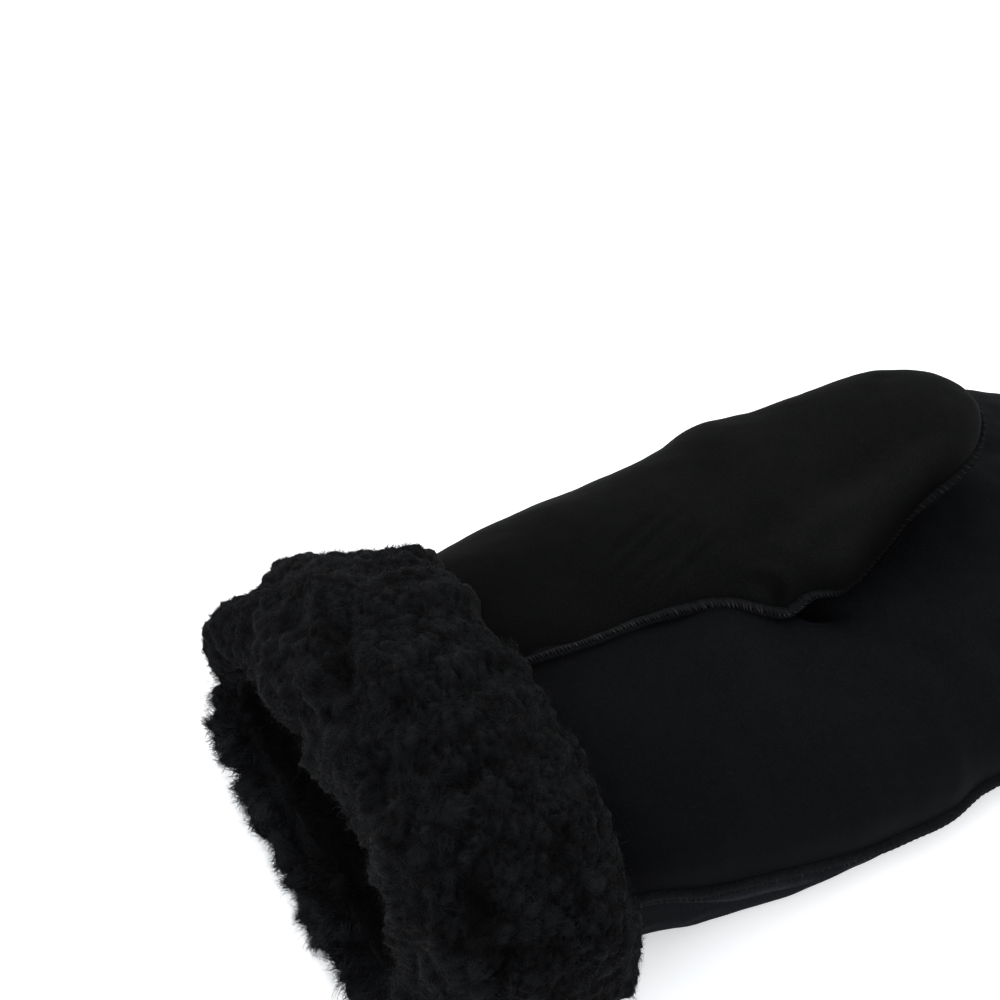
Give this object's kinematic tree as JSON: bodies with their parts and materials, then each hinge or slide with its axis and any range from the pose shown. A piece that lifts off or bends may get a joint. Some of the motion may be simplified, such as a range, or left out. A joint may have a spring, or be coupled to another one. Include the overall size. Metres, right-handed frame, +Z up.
{
  "type": "mitten",
  "caption": "Left-hand sheepskin mitten lying palm up, with a sewn thumb, overcast seams and a turned-up cuff of curly wool.",
  "frame": {"origin": "middle of the underside of the part's box, on the surface that it lies on", "axes": "+X from the open end towards the fingertips, +Y towards the thumb's side, +Z up, out of the palm"},
  "size_m": [0.2596, 0.1327, 0.0681],
  "materials": {
    "leather": "matt suede side of black sheepskin, finely napped",
    "thumb_leather": "matt suede side of black sheepskin, a little warmer",
    "seam": "raw leather edges overcast with dark grey thread",
    "wool": "black curly sheep's wool",
    "lining_wool": "black clipped sheep's wool"
  },
  "bodies": {
    "root": {"palm_panel": "leather", "back_panel": "leather", "thumb_panel": "thumb_leather", "thumb_underside": "leather", "side_seam": "seam", "thumb_seam": "seam", "wool_cuff": "wool", "wool_lining": "lining_wool"}
  },
  "joints": []
}
